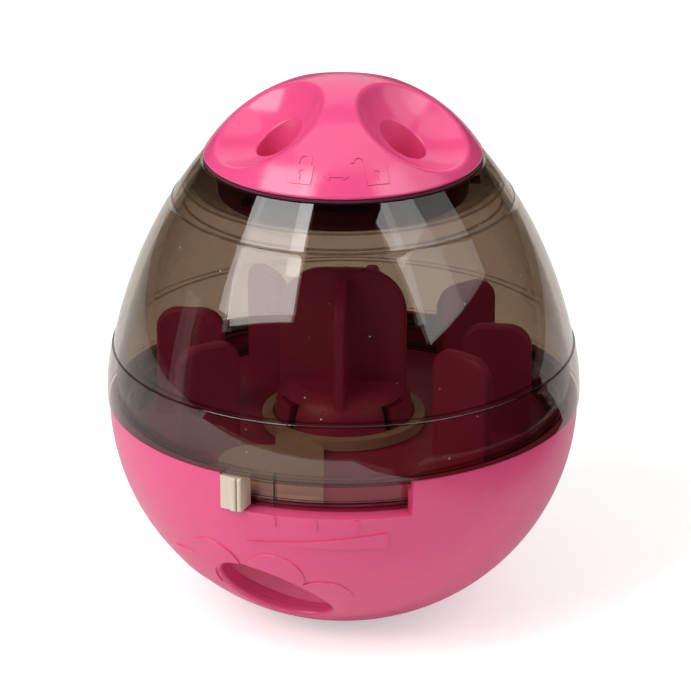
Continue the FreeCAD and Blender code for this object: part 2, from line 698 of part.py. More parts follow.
def smoky_dome():
    """See-through shell: spigot below, filling mouth with three bayonet gaps on top."""
    bottom = SEAM + SEAM_GAP / 2
    outer = filled_dome(0.0, bottom)
    hollow = filled_dome(DOME_WALL, bottom - 0.5)
    ceiling = NECK_TOP - NECK_FLANGE
    hollow = hollow.cut(Part.makeCylinder(80, 40, Vector(0, 0, ceiling)))
    shell = outer.cut(hollow)
    shell = shell.cut(tube(MOUTH_RADIUS, 0, ceiling - 1, NECK_TOP + 1))
    spigot_outer = BOWL_RADIUS - BOWL_WALL - FREE
    spigot_inner = spigot_outer - SPIGOT_WALL
    root = tube(DOME_RADIUS - DOME_WALL / 2, spigot_inner, bottom, bottom + 2.2)
    spigot = tube(spigot_outer, spigot_inner, SEAM - SPIGOT_DEPTH, bottom + 1.0)
    room = sector(80, 0, SEAM - 20, bottom, WINDOW_START - 2.5, WINDOW_END + 2.5)
    shell = shell.fuse([root, spigot.cut(room)])
    gap = LUG_SPAN + 2 * LUG_SLOT_EXTRA
    reach = SKIRT_RADIUS + LUG_REACH + RUNNING
    for i in range(LUG_COUNT):
        azimuth = 360.0 / LUG_COUNT * i
        notch = sector(reach, 0, ceiling - 1, NECK_TOP + 1, azimuth - gap / 2, azimuth + gap / 2)
        shell = shell.cut(notch)
        far = azimuth - TWIST_TRAVEL - LUG_SPAN / 2 - 1.0
        stop = sector(reach + 1.5, MOUTH_RADIUS + 0.1, ceiling - 2.0, ceiling + 0.5, far - 3.0, far)
        shell = shell.fuse(stop)
    return only_solid(shell)


def cap_gasket():
    """Soft flat ring between the neck and the cap."""
    low = NECK_TOP + (GASKET_GAP - GASKET_THICKNESS) / 2
    outer = CAP_RADIUS - RUNNING
    return tube(outer, outer - GASKET_WIDTH, low, low + GASKET_THICKNESS)


def cap_ball(inset, low):
    """The filled top of the cap's sphere above a height, moved in by inset."""
    radius = CAP_SPHERE - inset
    side = (math.sqrt(radius**2 - (low - CAP_CENTRE_Z) ** 2), low)
    top = (APEX_FLAT, CAP_CENTRE_Z + math.sqrt(radius**2 - APEX_FLAT**2))
    edges = [line((0, low), side), arc(side, top, radius), line(top, (0, top[1])), line((0, top[1]), (0, low))]
    return revolved(edges)


def dish_ball(extra=0.0):
    """The ball that scoops the dish out of the cap at the front, made larger by extra."""
    sag = CAP_SPHERE - math.sqrt(CAP_SPHERE**2 - DISH_RADIUS**2)
    depth = DISH_DEPTH - sag
    radius = (DISH_RADIUS**2 + depth**2) / (2 * depth)
    distance = CAP_SPHERE - DISH_DEPTH + radius
    tilt = math.radians(DISH_TILT)
    direction = at(math.sin(tilt), 0, math.cos(tilt))
    centre = Vector(0, 0, CAP_CENTRE_Z) + direction * distance
    return Part.makeSphere(radius + extra, centre, direction)


def dish_azimuths():
    """The dishes lie between the lugs, one of them at the back."""
    return [CAP_TURN + 60.0 + 360.0 / DISH_COUNT * i for i in range(DISH_COUNT)]


def well_place():
    """Distance of a finger well from the axis, and the height of its floor."""
    tilt = math.radians(DISH_TILT)
    depth_centre = CAP_SPHERE - DISH_DEPTH
    return depth_centre * math.sin(tilt), CAP_CENTRE_Z + depth_centre * math.cos(tilt) - WELL_DEPTH


def cap():
    """Pink cap: a hollow spherical shell with three scooped dishes and finger wells."""
    body = cap_ball(0.0, CAP_EDGE)
    hollow = cap_ball(CAP_WALL, CAP_EDGE - 1.0)
    ball = dish_ball()
    for azimuth in dish_azimuths():
        body = body.cut(turned(ball, azimuth))
    body = only_solid(body)
    rims = [e for e in body.Edges if e.BoundBox.ZMin > CAP_EDGE + 0.3 and e.Length > DISH_RADIUS]
    body = body.makeFillet(DISH_EDGE, rims)
    distance, well_floor = well_place()
    wider = dish_ball(CAP_WALL)
    tube_top = CAP_EDGE + CAP_RISE
    for azimuth in dish_azimuths():
        hollow = hollow.cut(turned(wider, azimuth))
    body = body.cut(hollow)
    for azimuth in dish_azimuths():
        place = at(distance, azimuth, well_floor - WELL_WALL)
        post = Part.makeCylinder(WELL_RADIUS + WELL_WALL, tube_top - place.z, place)
        post = post.cut(turned(dish_ball(0.5), azimuth))
        body = body.fuse(post)
        body = body.cut(Part.makeCylinder(WELL_RADIUS, 40, at(distance, azimuth, well_floor)))
    body = only_solid(body)
    body = body.makeFillet(SOFT_EDGE, well_rims(body) + cap_lip(body))
    skin = cap_ball(-RELIEF * 0.7, CAP_EDGE + 0.5).cut(cap_ball(0.3, CAP_EDGE))
    return only_solid(body.fuse([figure.common(skin) for figure in lock_figures()]))


def well_rims(body):
    """The edges where the finger wells open into the dishes."""
    rims = []
    distance, well_floor = well_place()
    for edge in body.Edges:
        middle = edge.CenterOfMass
        high = edge.BoundBox.ZMin > well_floor + 3.0 and edge.BoundBox.ZMax < CAP_EDGE + CAP_RISE - 3.0
        if high and edge.Length > 4 * WELL_RADIUS and abs(math.hypot(middle.x, middle.y) - distance) < 1.5:
            rims.append(edge)
    return rims


def cap_lip(body):
    """The cap's lower outer edge."""
    level = [e for e in body.Edges if e.BoundBox.ZLength < 0.01 and abs(e.BoundBox.ZMin - CAP_EDGE) < 0.01]
    return [e for e in level if abs(e.BoundBox.XMax - CAP_RADIUS) < 0.05]


def figure_on_cap(azimuth, height, outlines):
    """Flat outlines, drawn in mm right and up, stood on the cap at a place and pushed inward."""
    ring = math.sqrt(CAP_SPHERE**2 - (SEAM + height - CAP_CENTRE_Z) ** 2)
    lean = math.degrees(math.asin(ring / CAP_SPHERE))
    figure = outlines.copy()
    figure.rotate(ORIGIN, Vector(1, 0, 0), lean - 90.0)
    figure.translate(at(CAP_SPHERE * math.sin(math.radians(lean)), 0, SEAM + height))
    return turned(figure, azimuth)


def padlock(shackle_shift, legs):
    """A padlock as a raised solid facing the front, its shackle shifted when it is open."""
    half = PADLOCK_SIZE / 2
    body = Part.makeBox(2 * half, 4.0, 1.84 * half, Vector(-half, -2.0, -0.92 * half))
    keyhole = Part.makeCylinder(0.65, 6.0, Vector(0, -3.0, 0.4), Vector(0, 1, 0))
    slot = Part.makeBox(0.6, 6.0, 1.8, Vector(-0.3, -3.0, -1.4))
    spring = 0.92 * half + SHACKLE_LEG
    shackle = Part.makeCylinder(SHACKLE_RADIUS, 4.0, Vector(0, -2.0, spring), Vector(0, 1, 0))
    bore = SHACKLE_RADIUS - SHACKLE_WIDTH
    shackle = shackle.cut(Part.makeCylinder(bore, 6.0, Vector(0, -3.0, spring), Vector(0, 1, 0)))
    shackle = shackle.cut(Part.makeBox(6, 6, 4, Vector(-3, -3, spring - 4)))
    shackle = shackle.fuse([
        Part.makeBox(SHACKLE_WIDTH, 4.0, SHACKLE_LEG + 0.3, Vector(x, -2.0, spring - SHACKLE_LEG - 0.3))
        for x in legs
    ])
    shackle.translate(Vector(shackle_shift, 0, 0))
    return body.fuse(shackle).cut(keyhole).cut(slot)


def double_arrow():
    """A bar with a head at each end."""
    half = ARROW_LENGTH / 2
    bar = Part.makeBox(ARROW_LENGTH - 2.0, 4.0, 0.6, Vector(1.0 - half, -2.0, -0.3))
    heads = []
    for side in (-1, 1):
        points = [(half - 1.3, -1.0), (half, 0.0), (half - 1.3, 1.0), (half - 1.3, -1.0)]
        wire = Part.makePolygon([Vector(side * x, -2.0, z) for x, z in points])
        heads.append(Part.Face(wire).extrude(Vector(0, 4.0, 0)))
    return bar.fuse(heads)


def lock_figures():
    """Closed padlock, double arrow and open padlock on the cap's front."""
    left_leg = -SHACKLE_RADIUS
    right_leg = SHACKLE_RADIUS - SHACKLE_WIDTH
    swing = -PADLOCK_SIZE / 2 - SHACKLE_RADIUS + SHACKLE_WIDTH
    return [
        figure_on_cap(CAP_TURN - 15.5, FIGURE_HEIGHT, padlock(0.0, (left_leg, right_leg))),
        figure_on_cap(CAP_TURN, FIGURE_HEIGHT, double_arrow()),
        figure_on_cap(CAP_TURN + 18.0, FIGURE_HEIGHT, padlock(swing, (right_leg,))),
    ]


def cap_liner():
    """Inner cup pressed onto the well posts, with a skirt and three bayonet lugs."""
    top = CAP_EDGE - 0.1
    skirt = tube(SKIRT_RADIUS, SKIRT_RADIUS - LINER_WALL, SKIRT_BOTTOM, top)
    plate = tube(SKIRT_RADIUS, 0, top - LINER_WALL, top)
    liner = skirt.fuse(plate)
    distance, well_floor = well_place()
    for azimuth in dish_azimuths():
        place = at(distance, azimuth, top - 5)
        liner = liner.cut(Part.makeCylinder(WELL_RADIUS + WELL_WALL + FIT, 10, place))
    lug_top = NECK_TOP - NECK_FLANGE - FREE
    for i in range(LUG_COUNT):
        azimuth = 360.0 / LUG_COUNT * i
        start = azimuth - LUG_SPAN / 2
        outer = SKIRT_RADIUS + LUG_REACH
        lug = sector(outer, SKIRT_RADIUS - 1, lug_top - LUG_THICKNESS, lug_top, start, start + LUG_SPAN)
        liner = liner.fuse(lug)
    return only_solid(liner)


def main():
    """Make every piece and write it to its own file."""
    pieces = {
        "lower_bowl": lower_bowl(),
        "outlet_chute": outlet_chute(),
        "counterweight": counterweight(),
        "weight_cover": weight_cover(),
        "weight_cover_screws": weight_cover_screws(),
        "maze_floor": maze_floor(),
        "centre_screw": centre_screw(),
        "centre_tower": centre_tower(),
        "metering_disc": metering_disc(),
        "selector_ring": selector_ring(),
        "selector_knob": selector_knob(),
        "smoky_dome": smoky_dome(),
        "cap_gasket": cap_gasket(),
        "cap": cap(),
        "cap_liner": cap_liner(),
    }
    for name, azimuth in BAFFLES.items():
        pieces[name] = baffle(azimuth)
    os.makedirs("parts", exist_ok=True)
    for name, shape in pieces.items():
        shape.exportStep("parts/" + name + ".step")
        box = shape.BoundBox
        print(f"{name:22s} valid {shape.isValid()} volume {shape.Volume:9.0f} z {box.ZMin:6.2f} to {box.ZMax:6.2f}")


main()
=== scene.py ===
# %% [markdown]
# # Treat dispensing egg toy
# A small egg of pink, smoky and ivory plastic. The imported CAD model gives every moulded
# piece its exact place, so this script adds what the eye needs: finishes, light and a
# camera. Each cell does one thing and prints what it made.

# %% Load the frame
import bpy
import bmesh
import math
from mathutils import Matrix, Vector


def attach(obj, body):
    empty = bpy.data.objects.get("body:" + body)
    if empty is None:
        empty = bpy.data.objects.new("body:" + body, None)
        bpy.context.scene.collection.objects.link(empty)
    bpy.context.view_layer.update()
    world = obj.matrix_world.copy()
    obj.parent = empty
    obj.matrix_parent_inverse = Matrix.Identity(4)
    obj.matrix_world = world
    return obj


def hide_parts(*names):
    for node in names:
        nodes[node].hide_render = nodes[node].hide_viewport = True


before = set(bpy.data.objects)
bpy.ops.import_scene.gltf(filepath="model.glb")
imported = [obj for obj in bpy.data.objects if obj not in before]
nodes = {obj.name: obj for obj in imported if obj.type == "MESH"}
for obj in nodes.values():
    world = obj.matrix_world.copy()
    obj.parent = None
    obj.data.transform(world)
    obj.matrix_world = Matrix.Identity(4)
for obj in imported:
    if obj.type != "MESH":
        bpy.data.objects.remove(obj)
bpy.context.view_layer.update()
MM = 0.001

# %% [markdown]
# The camera comes first.
# A long lens from one metre away, a little above the egg, gives the same flat outline.
# Heights in this script are millimetres above the seam between bowl and dome. The bowl's
# side is an arc about a point at the seam's height. Its radius, and the level distance
# from that point to the foot's edge, give the height of the seam over the floor.

# %% Camera
SIDE_ARC = 55.2
FOOT_REACH = 12.0
SEAM_Z = math.sqrt(SIDE_ARC**2 - FOOT_REACH**2) * MM
AIM_HEIGHT = 12.0
TARGET = Vector((0.0, 0.0, SEAM_Z + AIM_HEIGHT * MM))
DISTANCE = 1.0
ELEVATION = math.radians(21.76)
ROLL = math.radians(-0.12)
LENS_MM = 213.76
SENSOR_MM = 36.0
PICTURE_PIXELS = 691.0
SHIFT_PIXELS = (2.0, 0.3)

camera_data = bpy.data.cameras.new("photo_camera")
camera_data.lens = LENS_MM
camera_data.sensor_width = SENSOR_MM
camera_data.shift_x = SHIFT_PIXELS[0] / PICTURE_PIXELS
camera_data.shift_y = SHIFT_PIXELS[1] / PICTURE_PIXELS
camera = bpy.data.objects.new("photo_camera", camera_data)
bpy.context.scene.collection.objects.link(camera)
back = Vector((0.0, -math.cos(ELEVATION), math.sin(ELEVATION)))
turn = back.to_track_quat("Z", "Y").to_matrix().to_4x4()
roll = Matrix.Rotation(ROLL, 4, "Z")
camera.matrix_world = Matrix.Translation(TARGET + back * DISTANCE) @ turn @ roll
bpy.context.scene.camera = camera
print("camera at", [round(c, 3) for c in camera.matrix_world.translation])

# %% [markdown]
# Colours are written as sRGB hex, the way a paint or plastics chart gives them, and one
# function turns them into the linear values that shaders need. A second small function
# adds a node of any kind, with its settings and links, in one line. It serves materials,
# the world and Geometry Nodes alike.

# %% Helpers for colours and nodes
MATH = "ShaderNodeMath"


def linear(hex_code):
    """sRGB hex text to a linear RGBA tuple."""
    channels = [int(hex_code[i:i + 2], 16) / 255.0 for i in (1, 3, 5)]
    flat = [c / 12.92 if c <= 0.04045 else ((c + 0.055) / 1.055) ** 2.4 for c in channels]
    return tuple(flat + [1.0])


def pattern_scale(size):
    """The texture scale at which a pattern is this size in mm."""
    return 1.0 / (size * MM)


def add(tree, kind, settings=None, **inputs):
    """Add a node. settings are its properties or plain inputs. The other words name its
    inputs, or number them as i0, i1, and take a socket, a node's first output or a number."""
    node = tree.nodes.new(kind)
    for key, value in (settings or {}).items():
        if isinstance(key, str) and hasattr(node, key):
            setattr(node, key, value)
        else:
            node.inputs[key].default_value = value
    for key, source in inputs.items():
        numbered = key[0] == "i" and key[1:].isdigit()
        slot = node.inputs[int(key[1:]) if numbered else key.replace("_", " ")]
        if isinstance(source, (int, float)):
            slot.default_value = source
        else:
            tree.links.new(source.outputs[0] if isinstance(source, bpy.types.Node) else source, slot)
    return node


def new_material(name):
    """An empty node material, returned with its tree and its output node."""
    material = bpy.data.materials.new(name)
    material.use_nodes = True
    tree = material.node_tree
    tree.nodes.clear()
    output = tree.nodes.new("ShaderNodeOutputMaterial")
    return material, tree, output


WHITE = linear("#FFFFFF")
print("ivory as linear:", [round(c, 3) for c in linear("#DBCEBC")])

# %% [markdown]
# ## Pink plastic
# The bowl, the cap and the maze are injection moulded ABS from a lightly spark-eroded
# mould. That leaves a satin skin: a soft highlight, a fine grain, and patches where the
# gloss differs a little because the melt cooled unevenly. Fine scuffs from floors and
# claws break the gloss further. The real grain is about a third of a millimetre. It is
# drawn twice as coarse here, so that it shows. The cap comes from a better polished mould,
# and mirrors the lamps with soft edges.

# %% Pink plastic material
GRAIN_MM = 0.7
GRAIN_BUMP = 0.12
PATCH_MM = 18.0
SCUFF_MM = 1.6
SCUFF_STRETCH = (1.0, 0.15, 0.6)
SCUFF_TURN = (0.4, 0.2, 0.9)
ABS_IOR = 1.53
ABS_GLOW_DEPTH = (0.004, 0.0015, 0.002)


def moulded_plastic(name, colour, deep_colour, roughness, grain_height):
    """Satin moulded plastic with grain, gloss patches and fine scuffs."""
    material, tree, output = new_material(name)
    place = add(tree, "ShaderNodeTexCoord").outputs["Object"]
    patches = add(tree, "ShaderNodeTexNoise", {"Scale": pattern_scale(PATCH_MM), "Detail": 3.0},
                  Vector=place)
    grain = add(tree, "ShaderNodeTexNoise", {"Scale": pattern_scale(GRAIN_MM), "Detail": 2.0},
                Vector=place)
    stretch = add(tree, "ShaderNodeMapping", {"Scale": SCUFF_STRETCH, "Rotation": SCUFF_TURN},
                  Vector=place)
    scuffs = add(tree, "ShaderNodeTexNoise", {"Scale": pattern_scale(SCUFF_MM), "Detail": 4.0},
                 Vector=stretch)
    scratch = add(tree, "ShaderNodeMapRange", {"From Min": 0.55, "From Max": 0.95, "To Max": 0.10},
                  Value=scuffs)
    tint = add(tree, "ShaderNodeMix",
               {"data_type": "RGBA", 6: linear(colour), 7: linear(deep_colour)}, i0=patches)
    gloss = add(tree, "ShaderNodeMapRange",
                {"To Min": roughness - 0.05, "To Max": roughness + 0.06}, Value=patches)
    worn = add(tree, MATH, {"operation": "ADD"}, i0=gloss, i1=scratch)
    bump = add(tree, "ShaderNodeBump", {"Strength": GRAIN_BUMP, "Distance": grain_height * MM},
               Height=grain)
    skin = add(tree, "ShaderNodeBsdfPrincipled",
               {"IOR": ABS_IOR, "Subsurface Weight": 0.06, "Subsurface Radius": ABS_GLOW_DEPTH,
                "Subsurface Scale": 0.5},
               Base_Color=tint.outputs[2], Roughness=worn, Normal=bump)
    tree.links.new(skin.outputs[0], output.inputs[0])
    return material


pink = moulded_plastic("pink_abs_moulded", "#EA5489", "#E44C82", 0.30, 0.02)
glossy_pink = moulded_plastic("pink_abs_glossy_cap", "#EA5489", "#E44C82", 0.17, 0.012)
# The maze pieces inside the dome get a darker copy of the pink: painted shade for the little light that
# reaches them through the smoky wall.
shaded_inner_pink = moulded_plastic("pink_abs_inner_painted_shade", "#CB4676", "#C44070", 0.36, 0.02)
ivory = moulded_plastic("ivory_abs_moulded", "#DBCEBC", "#D5C7B3", 0.36, 0.015)
print("materials:", pink.name, glossy_pink.name, shaded_inner_pink.name, ivory.name)

# %% [markdown]
# ## Smoky clear plastic
# The dome is tinted polycarbonate, moulded against polished steel, so both faces of its
# wall are mirrors for the studio lamps. Rays go straight through a wall this thin, so a
# tinted Transparent shader carries the colour, and a Glossy shader takes over at
# grazing angles. The share follows Schlick's rule: five per cent head on, all of it at
# the rim. The bottom edge sits in the dark joint with the bowl and mirrors nothing.
#
# The tint follows the wall: light that passes more plastic comes out darker, so the wall is
# darker where it is seen at a slant, and the thin ring behind the window is lighter. Painted
# shade darkens the tint further in bands: on the shoulder under the cap, where the plastic is
# also thicker, in thin lines round the wall at the ledges, near the top and just above the
# seam, and on the ring in thin lines and in an upright line at the edge of the pad behind its
# knob. Faint dust and wipe marks give the gloss some life.

# %% Smoky plastic material
WALL_TINT = "#D3CAC1"
EDGE_TINT = "#C7BBAF"
PAINTED_STEP_SHADE = "#6E6058"
DUST_TINT = "#D8D4CC"
DUST_MM = 7.0
WIPE_MM = 14.0
MIRROR_FADE = 0.1
LINE_DEGREES = 0.3


def slope(tree, height, start, end, before, after):
    """A soft step in value between two heights above the seam."""
    return add(tree, "ShaderNodeMapRange",
               {"interpolation_type": "SMOOTHSTEP", "From Min": SEAM_Z + start * MM,
                "From Max": SEAM_Z + end * MM, "To Min": before, "To Max": after}, Value=height)


def height_band(tree, height, low, high, soft):
    """1 between two heights above the seam and 0 outside them, with soft borders."""
    rise = slope(tree, height, low - soft, low, 0.0, 1.0)
    fall = slope(tree, height, high, high + soft, 1.0, 0.0)
    return add(tree, MATH, {"operation": "MULTIPLY"}, i0=rise, i1=fall)


def upright_line(tree, place, azimuth, width):
    """1 on a line at an azimuth from the front, in degrees, and 0 beside it."""
    axes = add(tree, "ShaderNodeSeparateXYZ", i0=place).outputs
    forward = add(tree, MATH, {"operation": "MULTIPLY"}, i0=axes["Y"], i1=-1.0)
    around = add(tree, MATH, {"operation": "ARCTAN2"}, i0=axes["X"], i1=forward)
    return add(tree, MATH, {"operation": "COMPARE"}, i0=around, i1=math.radians(azimuth),
               i2=math.radians(width / 2))


def darkened(tree, tint, colour, where):
    """The tint times a colour, where the mask is 1."""
    return add(tree, "ShaderNodeMix",
               {"data_type": "RGBA", "blend_type": "MULTIPLY", 7: linear(colour)},
               i0=where, i6=tint).outputs[2]


def smoky_plastic(name, wall_tint, edge_tint, head_on, mirror_from, painted_shade_bands, pad_edge_shade=None):
    """Thin clear wall. head_on is its mirror share at a right angle, and it mirrors above mirror_from.
    painted_shade_bands are (low, high, soft, tint) of painted shade. pad_edge_shade is the azimuth of an
    upright painted shade line."""
    material, tree, output = new_material(name)
    place = add(tree, "ShaderNodeTexCoord").outputs["Object"]
    facing = add(tree, "ShaderNodeLayerWeight", {"Blend": 0.5}).outputs["Facing"]
    steep = add(tree, MATH, {"operation": "POWER"}, i0=facing, i1=5.0)
    schlick = add(tree, MATH, {"operation": "MULTIPLY_ADD"}, i0=steep, i1=1.0 - head_on, i2=head_on)
    longer = add(tree, MATH, {"operation": "POWER"}, i0=facing, i1=2.0)
    tint = add(tree, "ShaderNodeMix",
               {"data_type": "RGBA", 6: linear(wall_tint), 7: linear(edge_tint)},
               i0=longer).outputs[2]
    height = add(tree, "ShaderNodeSeparateXYZ", i0=place).outputs["Z"]
    in_light = add(tree, "ShaderNodeMapRange",
                   {"From Min": SEAM_Z + mirror_from * MM,
                    "From Max": SEAM_Z + (mirror_from + MIRROR_FADE) * MM}, Value=height)
    share = add(tree, MATH, {"operation": "MULTIPLY"}, i0=schlick, i1=in_light)
    # Each band darkens the tint with painted shade.
    for low, high, soft, colour in painted_shade_bands:
        tint = darkened(tree, tint, colour, height_band(tree, height, low, high, soft))
    # An upright line of painted shade at the edge of the pad behind the knob.
    if pad_edge_shade is not None:
        tint = darkened(tree, tint, PAINTED_STEP_SHADE, upright_line(tree, place, pad_edge_shade, LINE_DEGREES))
    wipes = add(tree, "ShaderNodeTexNoise", {"Scale": pattern_scale(WIPE_MM), "Detail": 5.0},
                Vector=place)
    haze = add(tree, "ShaderNodeMapRange",
               {"From Min": 0.4, "From Max": 0.8, "To Min": 0.015, "To Max": 0.045}, Value=wipes)
    clear = add(tree, "ShaderNodeBsdfTransparent", Color=tint)
    mirror = add(tree, "ShaderNodeBsdfGlossy", {"Color": WHITE}, Roughness=haze)
    wall = add(tree, "ShaderNodeMixShader", i0=share, i1=clear, i2=mirror)
    specks = add(tree, "ShaderNodeTexVoronoi", {"Scale": pattern_scale(DUST_MM)}, Vector=place)
    speck = add(tree, "ShaderNodeMapRange", {"From Min": 0.035, "From Max": 0.02, "To Max": 0.5},
                Value=specks.outputs["Distance"])
    dust = add(tree, "ShaderNodeBsdfDiffuse", {"Color": linear(DUST_TINT)})
    dusty = add(tree, "ShaderNodeMixShader", i0=speck, i1=wall, i2=dust)
    tree.links.new(dusty.outputs[0], output.inputs[0])
    return material


# All these bands are painted shade: a broad one on the shoulder under the cap, where the plastic is also
# thicker, thin lines 55 mm up and at the ledges 51 and 14 mm up, and a thin line just above the seam.
smoky = smoky_plastic("smoky_polycarbonate_polished", WALL_TINT, EDGE_TINT, 0.05, 0.15, (
    (56.6, 61.5, 2.2, "#B9B4AE"),
    (54.9, 55.15, 0.25, "#C4BDB6"),
    (50.95, 51.35, 0.15, "#BDB5AE"),
    (13.85, 14.25, 0.15, "#BDB5AE"),
    (0.32, 0.45, 0.08, "#8A827A"),
))
# The thin ring's bands are painted shade: a thin line 2.5 to 2.9 mm under the seam, two thin lines at its
# bead 7 and 7.85 mm under the seam, and an upright line at the edge of the pad behind the knob.
smoky_thin = smoky_plastic("smoky_polycarbonate_thin", "#F0E2DE", "#E4D4CE", 0.03, -9.0, (
    (-2.9, -2.5, 0.1, "#B8AEA6"),
    (-7.08, -6.95, 0.08, PAINTED_STEP_SHADE),
    (-7.9, -7.8, 0.08, PAINTED_STEP_SHADE),
), pad_edge_shade=-18.2)
print("materials:", smoky.name, smoky_thin.name)

# %% [markdown]
# ## Steel and rubber
# The hidden ballast and the screws are zinc plated steel: a cool grey metal with a
# slightly uneven crystal bloom. The gasket under the cap is soft silicone rubber in a dark
# wine red, matt, with a trace of talc.

# %% Steel and rubber materials
BLOOM_MM = 3.0
TALC_MM = 5.0

steel, tree, output = new_material("zinc_plated_steel")
place = add(tree, "ShaderNodeTexCoord").outputs["Object"]
bloom = add(tree, "ShaderNodeTexVoronoi", {"Scale": pattern_scale(BLOOM_MM)},
            Vector=place).outputs["Distance"]
shade = add(tree, "ShaderNodeMix",
            {"data_type": "RGBA", 6: linear("#B9BBBC"), 7: linear("#A2A6AA")}, i0=bloom)
sheen = add(tree, "ShaderNodeMapRange", {"To Min": 0.28, "To Max": 0.42}, Value=bloom)
metal = add(tree, "ShaderNodeBsdfPrincipled", {"Metallic": 1.0}, Base_Color=shade.outputs[2],
            Roughness=sheen)
tree.links.new(metal.outputs[0], output.inputs[0])

rubber, tree, output = new_material("gasket_rubber_matt")
place = add(tree, "ShaderNodeTexCoord").outputs["Object"]
talc = add(tree, "ShaderNodeTexNoise", {"Scale": pattern_scale(TALC_MM), "Detail": 4.0},
           Vector=place)
colour = add(tree, "ShaderNodeMix",
             {"data_type": "RGBA", 6: linear("#581A32"), 7: linear("#64263E")}, i0=talc)
soft = add(tree, "ShaderNodeBsdfPrincipled", {"Roughness": 0.7, "IOR": 1.5},
           Base_Color=colour.outputs[2])
tree.links.new(soft.outputs[0], output.inputs[0])
print("materials:", steel.name, rubber.name)

# %% [markdown]
# ## Finishes on the CAD pieces
# A CAD node keeps its shape and only gets a better material in its slots.

# %% Assign the materials
FINISHES = {
    "smoky_dome": smoky,
    "cap": glossy_pink,
    "selector_ring": smoky_thin,
    "metering_disc": ivory,
    "selector_knob": ivory,
    "counterweight": steel,
    "weight_cover_screws": steel,
    "centre_screw": steel,
    "cap_gasket": rubber,
    # The maze pieces take the darker pink, which is painted shade.
    "maze_floor": shaded_inner_pink,
    "centre_tower": shaded_inner_pink,
}
for name, node in nodes.items():
    finish = FINISHES.get(name, shaded_inner_pink if name.startswith("baffle") else pink)
    for slot in node.material_slots:
        slot.material = finish
print("finished nodes:", len(nodes))

# %% [markdown]
# ## The dome, turned by Geometry Nodes
# The dome is moulded in one shot round a polished core, and nearly all of it is a turned
# shape. So a short row of points holds its profile, up the outside and down the inside,
# and a node tree spins that row round the axis, as a lathe would. Two rules break the
# symmetry. Three gaps in the mouth let the cap's lugs in, and the spigot that centres the
# dome in the bowl stops above the selector window.
#
# Each point of the profile carries the place it moves to inside such a gap, where the
# wall simply ends in a plain edge. Elsewhere the wall runs into the spigot with a smooth
# fillet, because a moulder avoids sharp inner corners. Three small stops for the lugs are
# set on points round the mouth.

# %% Dome profile
OUTER = [(57.7, 0.15), (56.35, 13.9), (55.95, 14.3), (41.3, 51.0), (41.0, 51.3), (34.2, 60.75)]
CURVES = [59.0, 0.4, 113.9, 0.3, 95.0]
STEPS = [9, 5, 26, 5, 9]
WALL = 2.2
BOTTOM, TOP = OUTER[0][1], OUTER[-1][1]
MOUTH = 30.5
MOUTH_GAP = 32.7
CEILING = 58.55
SPIGOT_IN, SPIGOT_OUT, SPIGOT_LOW = 53.2, 54.7, -2.6
STRAIGHT = 55.45
FILLET = [(55.25, 4.4), (54.9, 2.8), (54.4, 1.5), (53.75, 0.45)]
FILLET_TOP = 5.0
STAYS, MOUTH_MOVES, SPIGOT_MOVES = 0, 1, 2


def arc_centre(p, q, radius):
    """Centre of the arc that bulges outward from p up to q."""
    dx, dz = q[0] - p[0], q[1] - p[1]
    half = math.hypot(dx, dz) / 2
    rise = math.sqrt(radius**2 - half**2) / (2 * half)
    return (p[0] + q[0]) / 2 - dz * rise, (p[1] + q[1]) / 2 + dx * rise


def arc_points(p, q, radius, count, inset=0.0):
    """Points of that arc, moved in by inset, from p to q."""
    cx, cz = arc_centre(p, q, radius)
    start = math.atan2(p[1] - cz, p[0] - cx)
    end = math.atan2(q[1] - cz, q[0] - cx)
    turns = [start + (end - start) * i / count for i in range(count + 1)]
    return [(cx + (radius - inset) * math.cos(a), cz + (radius - inset) * math.sin(a)) for a in turns]


def plain(points):
    """Profile points that stay where they are in every gap."""
    return [(r, z, r, z, STAYS) for r, z in points]


outside = []
for p, q, radius, count in zip(OUTER, OUTER[1:], CURVES, STEPS):
    outside += arc_points(p, q, radius, count)[1 if outside else 0:]
inside = []
for i, skip in ((4, 0), (2, 1), (0, 1)):
    inside += arc_points(OUTER[i], OUTER[i + 1], CURVES[i], STEPS[i], WALL)[::-1][skip:]
inside = [(r, z) for r, z in inside if FILLET_TOP < z < CEILING]

profile = [(SPIGOT_IN, SPIGOT_LOW, STRAIGHT, BOTTOM, SPIGOT_MOVES),
           (SPIGOT_OUT, SPIGOT_LOW, STRAIGHT + 0.1, BOTTOM, SPIGOT_MOVES),
           (SPIGOT_OUT, BOTTOM, STRAIGHT + 0.2, BOTTOM, SPIGOT_MOVES)]
profile += plain([(57.4, BOTTOM), (57.65, 0.35)] + outside[1:])
profile += [(MOUTH, z, MOUTH_GAP, z, MOUTH_MOVES) for z in (TOP, CEILING)]
profile += plain([(inside[0][0] + 0.1, CEILING)] + inside)
profile += [(r, z, STRAIGHT, z, SPIGOT_MOVES) for r, z in FILLET]
print("dome profile points:", len(profile))

# %% [markdown]
# A node tree for geometry needs its sockets declared before anything can be linked to
# them, and its result has to become a plain mesh, because the exported model has no
# modifiers. These two helpers do that for any tree.

# %% Helpers for geometry trees
def geometry_tree(name, inputs):
    """A node tree for geometry. inputs are (name, socket type, value) after the geometry."""
    tree = bpy.data.node_groups.new(name, "GeometryNodeTree")
    for in_out in ("INPUT", "OUTPUT"):
        tree.interface.new_socket(name="Geometry", in_out=in_out, socket_type="NodeSocketGeometry")
    values = {}
    for label, kind, value in inputs:
        socket = tree.interface.new_socket(name=label, in_out="INPUT", socket_type=kind)
        values[socket.identifier] = value
    given = tree.nodes.new("NodeGroupInput").outputs
    result = tree.nodes.new("NodeGroupOutput").inputs
    return tree, given, result, values


